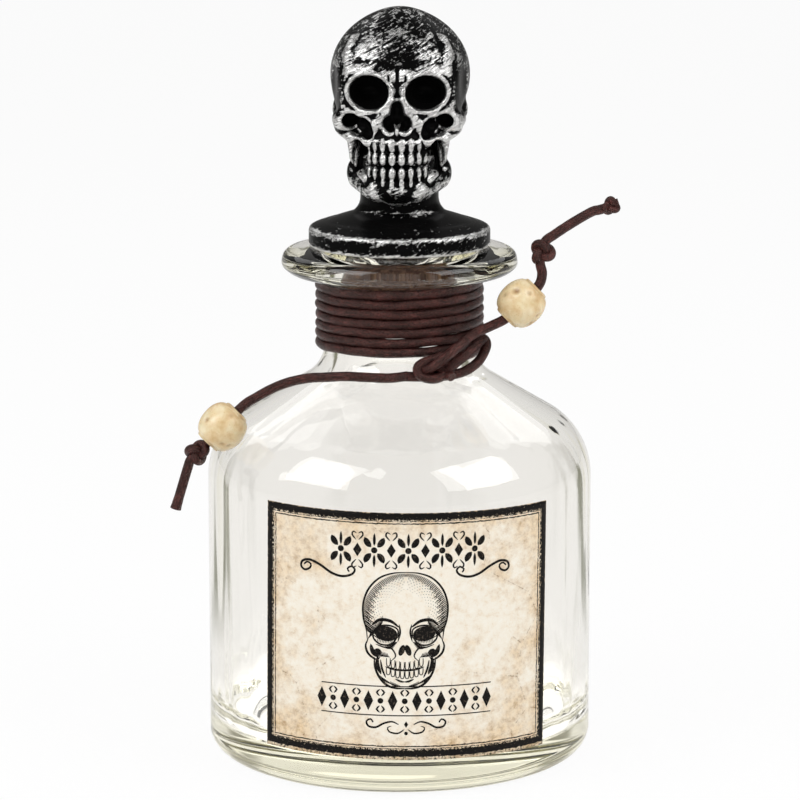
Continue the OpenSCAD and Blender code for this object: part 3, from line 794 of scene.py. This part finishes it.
# centre and half sizes in millimetres, the chin at z = 0 and the face towards -Y
cranium = both_sides([(4.4, 5, 28.6, 12.7, 15.5, 13.8), (5.2, -4.5, 27.4, 11.4, 11.8, 12.6)])
cranium += [(0, 2, 30, 14.2, 17.6, 15.3), (0, 9, 24, 14.6, 13.4, 12), (0, 6, 15, 12, 12, 10)]
face = [(0, -9.4, 25, 8, 7.2, 8), (0, -8.6, 18, 10.4, 8, 6), (0, -11, 14.4, 8, 8.1, 3.4),
        (0, -12, 16.6, 6.4, 6, 2.6), (0, -14.8, 16, 4.8, 2.9, 1.9)]
face += both_sides(
    [(7.4, -13, 31.4, 4.6, 2.8, 1.6), (3, -14.7, 30.2, 2.5, 2.4, 1.7), (9.6, -9, 25.4, 4.3, 4.2, 7),
     (12.6, -9, 18.8, 3.2, 3.8, 3.3), (14.4, -3, 18.6, 1.9, 7, 2.1), (14.6, 4, 20, 2, 4, 2.8),
     (6.2, -14.2, 17.6, 2.1, 2.8, 3.6), (12.6, -10.5, 21, 1.8, 2, 2.5),
     (11, -12.2, 22.3, 1.8, 1.8, 1.6), (6.1, -14.7, 20.6, 1.9, 1.9, 1.7)]
    + roll_of_clay((10.6, -7, 38.5, 0.9), (11.7, -9.4, 34.6, 1.1), (11.2, -12.6, 31, 1.2), (12, -12, 27, 1.2),
                   (12.1, -11.6, 22.6, 1.5))
    + roll_of_clay((12.4, -11.2, 21.2, 1.1), (9, -14.2, 21.1, 1), (5.6, -15.8, 22, 0.9))
    + roll_of_clay((1.6, -17, 27, 1), (3.1, -16.9, 22.6, 1.1), (5.4, -15.9, 18.2, 1.3))
    + roll_of_clay((14.2, -8, 16.8, 1.1), (11, -12, 14.9, 1.1), (6.8, -15, 14.6, 1.1)))
jaw = [(0, -12.8, 3.6, 6.6, 6.2, 3.9), (0, -5, 8, 9, 8, 8)]
jaw += both_sides(
    [(4.4, -15.6, 2.8, 2.9, 2.6, 3), (10.8, -2, 5.2, 2, 3.9, 3.4), (10.3, -3, 12, 1.5, 4, 6)]
    + roll_of_clay((5.8, -14.2, 2.4, 2.2), (10.2, -4.6, 3.8, 2))
    + roll_of_clay((7, -14.2, 5, 0.9), (8.9, -11.4, 6.6, 0.8), (10.6, -9, 9.4, 0.8), (11.5, -7.6, 15, 0.9)))
sockets = both_sides([(7.1, -17.2, 26.5, 5.1, 7.6, 4.2)])
nose_hole = both_sides([(1.9, -19.9, 19.2, 1.75, 4.8, 2.1)])
nose_hole += [(0, -20, 21.8, 1.7, 5, 3.2), (0, -20, 20.2, 2.4, 5, 2)]
temples = both_sides([(18.6, -8.5, 27.5, 3.4, 7, 7.5)])
rimmed = sockets + nose_hole
pressed = both_sides([(9.4, -16.4, 17.9, 3.4, 5.4, 2.6), (11.3, -14.6, 19.2, 2.4, 5.6, 2),
                      (7.4, -17, 16.6, 1.7, 3.4, 1.7), (9.6, -13.2, 10.6, 2.2, 5.6, 4.4),
                      (0, -17.2, 31.2, 0.3, 1.4, 2.2), (2.1, -17.6, 29.6, 0.3, 1.1, 1.5)]) + rimmed
teeth = [(0, -18.6, 17.5, 0.5, 1.2, 1.2)]
for i in range(8):
    a = math.radians((i - 3.5) * 17.5)
    x, y = 7.5 * math.sin(a), -11.2 - 7.5 * math.cos(a)
    narrow = 1.02 - 0.09 * abs(i - 3.5)
    teeth += [(x, y, 10.7, 0.98 * narrow, 1.15, 1.6), (x, y + 0.3, 13.9, 0.92 * narrow, 1.0, 1.8),
              (x, y, 7.2, 0.9 * narrow, 1.05, 1.55), (x, y + 0.3, 5.0, 0.7 * narrow, 0.9, 1.5)]


def soft_union(a, b, k):
    """Two clays pressed together over k millimetres."""
    h = np.maximum(k - np.abs(a - b), 0) / k
    return np.minimum(a, b) - h * h * k / 4


def lump_gap(p, lump):
    """How far places are from a lump, below nought inside it."""
    q = (p - np.array(lump[:3], "f")) / np.array(lump[3:], "f")
    far = np.sqrt(np.einsum("ij,ij->i", q, q)) + 1e-6
    q /= np.array(lump[3:], "f")
    return far * (far - 1) / (np.sqrt(np.einsum("ij,ij->i", q, q)) + 1e-6)


def together(p, lumps, k):
    """One clay of many lumps."""
    gap = lump_gap(p, lumps[0])
    for lump in lumps[1:]:
        gap = soft_union(gap, lump_gap(p, lump), k)
    return gap


def casting(p):
    """How far places are from the stopper's skin."""
    rho = np.hypot(p[:, 0], p[:, 1])
    h = p[:, 2] + chin_z - mouth_z
    head = soft_union(together(p, face, 0.9), together(p, jaw, 0.9), 0.7)
    body = soft_union(together(p, cranium, 2.4), head, 1.4)
    neck = (np.hypot(p[:, 0] / 9.6, p[:, 1] / 12.2) - 1) * 9.6 - 0.25 * np.exp(-np.abs(h - 8.6) / 0.7)
    neck = np.maximum(neck, h - 22)
    dome = h - np.interp(rho, [0, 9.5, 11, 15, 19, 21.3, 22, disc_r], [9, 9, 8.1, 6.8, 5.5, 4.7, 4.35, 3.8])
    disc = np.maximum(np.maximum(dome * 0.95, rho - disc_r), -h)
    body = soft_union(body, soft_union(neck, disc, 2.8), 1.4)
    rim = together(p, rimmed, 0.5)
    body -= 0.5 * np.exp(-((rim - 0.5) / 0.38) ** 2) * (p[:, 1] < -9)
    for hollow in temples:
        body = -soft_union(-body, lump_gap(p, hollow), 2.4)
    for hollow in pressed:
        body = -soft_union(-body, lump_gap(p, hollow), 0.5)
    return soft_union(body, together(p, teeth, 0.15), 0.35)


def balls(lumps):
    """One ball for each lump."""
    bm = bmesh.new()
    for lump in lumps:
        made = bmesh.ops.create_icosphere(bm, subdivisions=3, radius=1)["verts"]
        bmesh.ops.scale(bm, vec=lump[3:], verts=made)
        bmesh.ops.translate(bm, vec=lump[:3], verts=made)
    return bm


def even_skin(worked, voxel):
    """A remesh of that fineness, in millimetres, as the object's next modifier."""
    even = worked.modifiers.new("even", "REMESH")
    even.mode = "VOXEL"
    even.voxel_size = voxel


def places_and_normals(mesh):
    """Where the skin's points are, and which way they face."""
    place, normal = (np.empty(len(mesh.vertices) * 3, "f") for _ in range(2))
    mesh.vertices.foreach_get("co", place)
    mesh.vertex_normals.foreach_get("vector", normal)
    return place.reshape(-1, 3), normal.reshape(-1, 3)


def press(mesh, times, reach):
    """Moves the skin along its normals on to the casting, no further than reach at a time."""
    for _ in range(times):
        place, normal = places_and_normals(mesh)
        place -= normal * np.clip(casting(place) * 0.8, -reach, reach)[:, None]
        mesh.vertices.foreach_set("co", place.ravel())
        mesh.update()


bm = balls(cranium + face + jaw + teeth)
for low, high, r1, r2 in ((-12.8, -8.6, disc_r, disc_r), (-9, -5, 18, 11), (-8, 6, 10, 10)):
    made = bmesh.ops.create_cone(bm, cap_ends=True, segments=64, radius1=r1, radius2=r2,
                                 depth=high - low)["verts"]
    bmesh.ops.translate(bm, vec=(0, 0, (low + high) / 2), verts=made)
clay, tools = placed("clay", as_mesh("clay", bm)), placed("tools", as_mesh("tools", balls(pressed)))
even_skin(tools, 0.4)
even_skin(clay, 0.5)
cut = clay.modifiers.new("hollows", "BOOLEAN")
cut.object = tools
cut.solver = "EXACT"
even_skin(clay, 0.36)
skin = bpy.data.meshes.new_from_object(clay.evaluated_get(bpy.context.evaluated_depsgraph_get()))
for spent in (clay, tools):
    bpy.data.objects.remove(spent)
press(skin, 7, 0.22)

# how proud each point stands: its height over the skin when that is ironed flat
place, normal = places_and_normals(skin)
count = len(place)
pairs = np.empty(len(skin.edges) * 2, "i")
skin.edges.foreach_get("vertices", pairs)
a, b = pairs.reshape(-1, 2).T
ends = np.bincount(pairs, minlength=count)[:, None]
ironed = place.copy()
proud = np.zeros(count)
weights = {5: 3.2, 35: 0.4}
for step in range(36):
    total = [np.bincount(a, ironed[b, i], count) + np.bincount(b, ironed[a, i], count) for i in range(3)]
    ironed = (np.stack(total, 1) / ends).astype("f")
    if step in weights:
        proud += np.einsum("ij,ij->i", place - ironed, normal) * weights[step]

# how much silver the brush left: more on what stands proud and over the brows, less
# in the middle of the forehead, at the back of the neck and on the disc
px, py, pz = place.T
proud *= np.interp(pz, [-8, -3, 0, 2], [0.4, 0.5, 0.6, 1.0])
rub = 2.4 * proud
rub += np.interp(pz, [-9, -8, -2, 2, 21, 26, 34], [0.02, -0.04, -0.22, -0.22, -0.18, 0.06, 0.17])
rub -= 0.1 * np.exp(-(px / 12) ** 2 - ((pz - 44) / 4) ** 2)
for gain, x, z, across, up in (
        (-0.42, 0.5, 35.5, 4.6, 3.4), (0.34, -7, 35, 5, 3), (0.36, 8, 34, 5, 3.4), (0.2, -3, 38, 8, 3),
        (0.2, 13, 18, 3, 3), (0.12, -13, 17, 2.4, 3), (0.2, 0, 10.5, 8.5, 5), (0.3, 0, 16.4, 4.4, 1.3),
        (0.1, 0, 22, 9, 5), (0.2, 13.5, 19, 3, 4), (0.3, 5, -3, 3, 2), (-0.1, 0, 2, 7, 2.6)):
    rub += gain * np.exp(-((px - x) / across) ** 2 - ((pz - z) / up) ** 2) * (py < -6)
under_cheeks = (pz < 9) * (pz > -1)
rub -= (0.4 * (py > -3) + 0.2 * (np.abs(px) > 8)) * under_cheeks
rim_line = np.exp(-((pz + 8.5) / 0.22) ** 2) + 0.35 * np.exp(-((pz + 12.4) / 0.3) ** 2)
rub += 0.5 * rim_line * (np.hypot(px, py) > 21)
rub -= 0.3 * np.exp(-((np.abs(px) - 13.6) / 1.2) ** 2 - ((pz - 28) / 6) ** 4) * (py < -1)
deep = np.clip(-casting(place + normal * 1.6) * 0.5 + 0.4, 0, 1)
rub -= 1.2 * np.clip(deep - 0.45, 0, 1)
for name, values in (("rub", rub), ("deep", deep)):
    skin.attributes.new(name, "FLOAT", "POINT").data.foreach_set("value", values.astype("f"))

skin.transform(Matrix.Translation((0, 0, chin_z * MM)) @ Matrix.Rotation(skull_turn, 4, "Z")
               @ Matrix.Scale(MM, 4))
for face_of_skin in skin.polygons:
    face_of_skin.use_smooth = True


def brushed_silver():
    """Black paint, with silver where the dry brush touched, in slanting streaks."""
    finish, shader = new_finish("antique_silver", {"Specular IOR Level": 0.025})
    where = put(finish, "TexCoord").outputs["Object"]
    rub = put(finish, "Attribute", attribute_name="rub").outputs["Fac"]
    deep = put(finish, "Attribute", attribute_name="deep").outputs["Fac"]
    strokes = put(finish, "Mapping", {"Vector": where, "Rotation": (0.1, -0.42, 0.0),
                  "Scale": (2.6 * MM, 2.6 * MM, 0.5 * MM)}, vector_type="TEXTURE")
    streaks = put(finish, "TexNoise", {"Vector": strokes.outputs["Vector"], "Scale": 1.0, "Detail": 8.0,
                  "Roughness": 0.68, "Distortion": 0.9}).outputs["Fac"]
    blots = clouds(finish, where, 420.0, 6.0, 0.7)
    pits = clouds(finish, where, 1500.0, 4.0, 0.6)
    brush = times(finish, streaks, 0.45, times(finish, blots, 0.3))
    brush = times(finish, pits, 0.25, brush)
    brush = maths(finish, "MAXIMUM", times(finish, brush, 5.0, -2.0), 0.0)
    touched = maths(finish, "SUBTRACT", maths(finish, "ADD", rub, brush), 0.5)
    silver = ramp(finish, touched, (0.44, 0.0), (0.58, 1.0))
    thin = ramp(finish, streaks, (0.42, (0.42, 0.415, 0.41)), (0.58, (0.92, 0.92, 0.91)))
    colour = blend(finish, silver, (0.003, 0.003, 0.003), thin)
    relief = times(finish, silver, times(finish, streaks, 0.9, blots))
    paint(finish, shader, colour, ramp(finish, deep, (0.4, 0.25), (0.8, 0.5)), relief, 0.3 * MM, 0.7,
          metal=times(finish, silver, 0.9))
    return finish


stopper = piece("cast_stopper", [skin], brushed_silver(), "stopper")
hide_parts("skull_stopper")


# Floor, daylight and lamps: a pale table under even white light, with darker gaps
# between the windows all round, which show in the edges of the glass. To glass and
# metal the table glows too, with painted dark bands and a painted brighter glow round
# the bottle.
daylight = (0.97, 0.955, 0.93)
lamp_distance = 0.9


def windows(finish, vector, gap, window):
    """The gaps between four windows, by direction, and the windows, as a ramp's stops."""
    parts = put(finish, "SeparateXYZ", {"Vector": vector})
    around = maths(finish, "ARCTAN2", parts.outputs[1], parts.outputs[0])
    wave = maths(finish, "COSINE", times(finish, around, 4.0))
    return ramp(finish, times(finish, wave, 0.5, 0.5), gap, window)


def table_finish():
    """Pale table: white where the camera sees it; to glass and metal it glows as bright as the room, with
    painted dark bands and a painted brighter glow round the bottle.
    """
    finish, shader = new_finish("pale_floor", {"Base Color": (0.93, 0.93, 0.93, 1), "Roughness": 0.7})
    seen = put(finish, "LightPath").outputs
    unseen = maths(finish, "SUBTRACT", 1.0, seen["Is Camera Ray"])
    ground = put(finish, "TexCoord").outputs["Object"]
    far = put(finish, "VectorMath", {"Vector": ground}, operation="LENGTH").outputs["Value"]
    # painted dark bands: beyond 0.12 m the table glows dark olive in four directions, to glass and metal
    # only, as painted gaps in what they reflect
    painted_dark_bands = times(finish, windows(finish, ground, (0.02, 1.0), (0.1, 0.0)),
                  ramp(finish, far, (0.12, 0.0), (0.2, 1.0)))
    tone = blend(finish, times(finish, painted_dark_bands, unseen), (0.88, 0.86, 0.83), (0.17, 0.17, 0.1))
    # painted pool of light: within 0.1 m of the bottle the table glows up to half as bright again, to glass
    # and metal only
    painted_glow_round_bottle = times(finish, ramp(finish, far, (0.05, 1.0), (0.1, 0.0)), unseen)
    glow = put(finish, "Emission", {"Color": blend(finish, seen["Is Camera Ray"], tone, (1, 1, 1)),
               "Strength": times(finish, painted_glow_round_bottle, 0.5, 1.0)})
    glowing = times(finish, seen["Is Glossy Ray"], 0.25,
                    times(finish, seen["Is Transmission Ray"], 0.9))
    glowing = maths(finish, "MAXIMUM", times(finish, seen["Is Camera Ray"], 0.93), glowing)
    mixed = put(finish, "MixShader", {0: glowing, 1: shader.outputs["BSDF"], 2: glow.outputs["Emission"]})
    output = finish.node_tree.nodes["Material Output"]
    finish.node_tree.links.new(mixed.outputs["Shader"], output.inputs["Surface"])
    return finish


bm = bmesh.new()
bmesh.ops.create_circle(bm, cap_ends=True, radius=6, segments=64)
floor_mesh = as_mesh("floor", bm)
floor_mesh.materials.append(table_finish())
floor = placed("floor", floor_mesh)

world = bpy.data.worlds.new("studio")
world.use_nodes = True
bpy.context.scene.world = world
sky = world.node_tree.nodes["Background"]
way = put(world, "TexCoord").outputs["Generated"]
upright = ramp(world, put(world, "SeparateXYZ", {"Vector": way}).outputs[2], (0.25, 1.0), (0.6, 0.0))
gaps = blend(world, upright, daylight, windows(world, way, (0.03, (0.2, 0.19, 0.13)), (0.14, daylight)))
rays = put(world, "LightPath").outputs
plain = maths(world, "MAXIMUM", rays["Is Camera Ray"], rays["Is Diffuse Ray"])
world.node_tree.links.new(blend(world, plain, gaps, (1.0, 1.0, 1.0)), sky.inputs["Color"])
level = times(world, rays["Is Transmission Ray"], 0.68,
              times(world, rays["Is Glossy Ray"], -0.24, 0.46))
world.node_tree.links.new(level, sky.inputs["Strength"])
white = put(world, "Background", {"Color": (1, 1, 1, 1), "Strength": 1.0})
either = put(world, "MixShader", {0: rays["Is Camera Ray"], 1: sky.outputs["Background"],
                                  2: white.outputs["Background"]})
world.node_tree.links.new(either.outputs["Shader"], world.node_tree.nodes["World Output"].inputs["Surface"])


def softbox(name, azimuth, elevation, size, power):
    """A square lamp that looks at the bottle."""
    lamp = bpy.data.lights.new(name, "AREA")
    lamp.size = size
    lamp.energy = power
    holder = placed(name, lamp)
    a, e = math.radians(azimuth), math.radians(elevation)
    back = Vector((math.sin(a) * math.cos(e), -math.cos(a) * math.cos(e), math.sin(e)))
    holder.location = Vector((0, 0, 0.09)) + back * lamp_distance
    holder.rotation_euler = back.to_track_quat("Z", "Y").to_euler()


softbox("key", -56, 40, 0.6, 4.2)
softbox("fill", 60, 38, 0.6, 3.8)
softbox("rear_left", -145, 40, 0.45, 0.6)
softbox("rear_right", 145, 40, 0.45, 0.6)

bpy.context.scene.view_settings.view_transform = "Standard"
# light turns back many times inside the thick foot of the bottle
bpy.context.scene.cycles.max_bounces = 28
bpy.context.scene.cycles.glossy_bounces = 16
bpy.context.scene.cycles.transmission_bounces = 24
